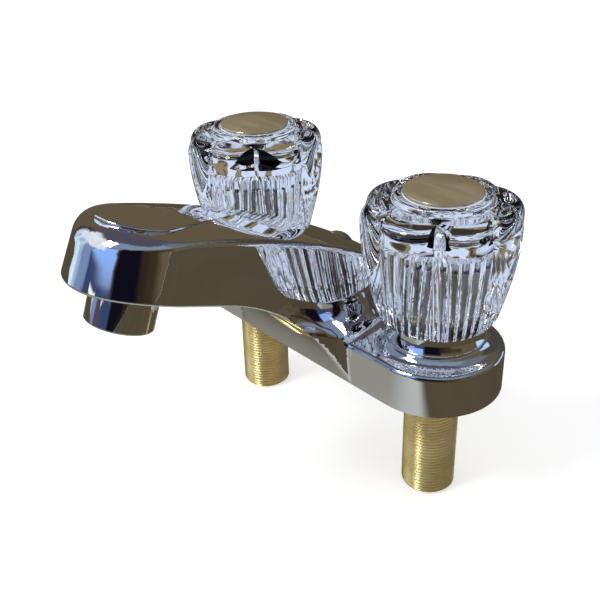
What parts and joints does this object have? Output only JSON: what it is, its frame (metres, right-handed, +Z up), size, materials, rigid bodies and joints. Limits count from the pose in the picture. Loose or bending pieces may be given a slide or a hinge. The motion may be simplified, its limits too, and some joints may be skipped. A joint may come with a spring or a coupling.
{
  "type": "two-handle centerset bathroom faucet",
  "caption": "Deck-mounted bathroom basin faucet with a low arched spout and a clear lobed turning knob on each side, fed by threaded shanks.",
  "frame": {"origin": "middle of the base's underside, on the deck plane, halfway between the two shanks", "axes": "+X from the hot shank to the cold shank, the spout points to -Y, +Z up, away from the deck"},
  "size_m": [0.158, 0.1442, 0.132],
  "materials": {
    "chrome": "polished",
    "brass": "machined",
    "copper": "drawn tube",
    "clear_acrylic": "clear, polished",
    "clear_cap": "bright disc under clear plastic",
    "black_rubber": "matt",
    "white_plastic": "matt",
    "grey_plastic": "matt",
    "steel": "plain"
  },
  "bodies": {
    "body": {"spout_shell": "chrome", "deck_gasket": "white_plastic", "waterway": "brass", "spout_tube": "copper", "aerator_housing": "chrome", "aerator_insert": "grey_plastic", "aerator_screen": "steel", "aerator_washer": "black_rubber", "lift_rod_plug": "chrome", "hot_shank": "brass", "hot_valve_body": "brass", "hot_bonnet_nut": "brass", "hot_bell_ring": "chrome", "hot_seat_seal": "black_rubber", "hot_seat_spring": "steel", "cold_shank": "brass", "cold_valve_body": "brass", "cold_bonnet_nut": "brass", "cold_bell_ring": "chrome", "cold_seat_seal": "black_rubber", "cold_seat_spring": "steel"},
    "hot_handle": {"hot_stem": "brass", "hot_stem_ring": "black_rubber", "hot_knob": "clear_acrylic", "hot_knob_screw": "steel", "hot_index_button": "clear_cap"},
    "cold_handle": {"cold_stem": "brass", "cold_stem_ring": "black_rubber", "cold_knob": "clear_acrylic", "cold_knob_screw": "steel", "cold_index_button": "clear_cap"}
  },
  "joints": [
    {"name": "hot_turn", "type": "hinge", "parent": "body", "child": "hot_handle", "pos_m": [-0.0508, 0, 0.03], "axis": [0, 0, 1], "range_deg": [0, 90]},
    {"name": "cold_turn", "type": "hinge", "parent": "body", "child": "cold_handle", "pos_m": [0.0508, 0, 0.03], "axis": [0, 0, 1], "range_deg": [-90, 0]}
  ]
}
